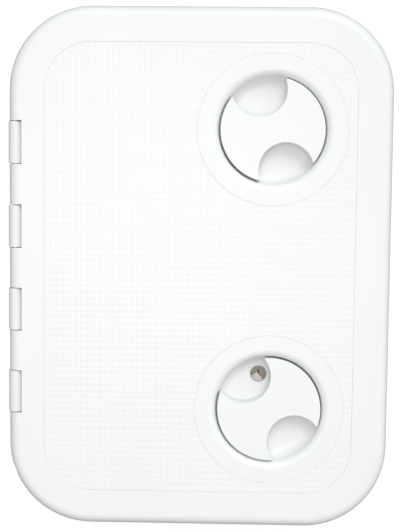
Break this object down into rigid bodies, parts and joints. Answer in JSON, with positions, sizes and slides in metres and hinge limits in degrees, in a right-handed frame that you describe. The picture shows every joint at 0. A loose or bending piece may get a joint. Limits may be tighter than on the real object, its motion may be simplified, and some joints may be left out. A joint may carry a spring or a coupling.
{
  "type": "access hatch",
  "caption": "Rectangular flush-deck access hatch: a moulded lid with a non-slip field, hinged on a screw-down frame with a drain gutter and closed by round twist handles with a key lock.",
  "frame": {"origin": "middle of the frame's screw holes, on the underside of the flange, where it lies on the deck", "axes": "+X from the hinge to the latches, +Y along the lid towards its upper end in the picture, +Z out of the deck"},
  "size_m": [0.2754, 0.375, 0.046],
  "materials": {
    "lid_plastic": "moulded white, satin gloss",
    "frame_plastic": "moulded off-white, satin gloss",
    "seal_rubber": "matt black",
    "nylon": "moulded black",
    "stainless": "drawn stainless steel",
    "lock_metal": "nickel plated"
  },
  "bodies": {
    "frame": {"frame": "frame_plastic"},
    "lid": {"lid_panel": "lid_plastic", "lid_gasket": "seal_rubber", "hinge_pin": "stainless", "lock_barrel": "lock_metal", "left_lock_screw": "stainless", "right_lock_screw": "stainless"},
    "upper_latch": {"upper_handle": "lid_plastic", "upper_o_ring": "seal_rubber", "upper_slip_washer": "nylon", "upper_tongue": "nylon", "upper_plate_washer": "stainless", "upper_latch_screw": "stainless"},
    "lower_latch": {"lower_handle": "lid_plastic", "lower_o_ring": "seal_rubber", "lower_slip_washer": "nylon", "lower_tongue": "nylon", "lower_plate_washer": "stainless", "lower_latch_screw": "stainless"},
    "lock": {"lock_plug": "lock_metal", "lock_cam": "lock_metal", "lock_cam_screw": "stainless"}
  },
  "joints": [
    {"name": "lid_hinge", "type": "hinge", "parent": "frame", "child": "lid", "pos_m": [-0.133, 0, 0.011], "axis": [0, -1, 0], "range_deg": [0, 180]},
    {"name": "upper_handle_turn", "type": "hinge", "parent": "lid", "child": "upper_latch", "pos_m": [0.0515, 0.1005, 0], "axis": [0, 0, 1], "range_deg": [0, 180]},
    {"name": "lower_handle_turn", "type": "hinge", "parent": "lid", "child": "lower_latch", "pos_m": [0.0515, -0.1005, 0], "axis": [0, 0, 1], "range_deg": [-180, 0]},
    {"name": "key_turn", "type": "hinge", "parent": "lid", "child": "lock", "pos_m": [0.0441, -0.0765, 0], "axis": [0, 0, 1], "range_deg": [-90, 0]}
  ]
}
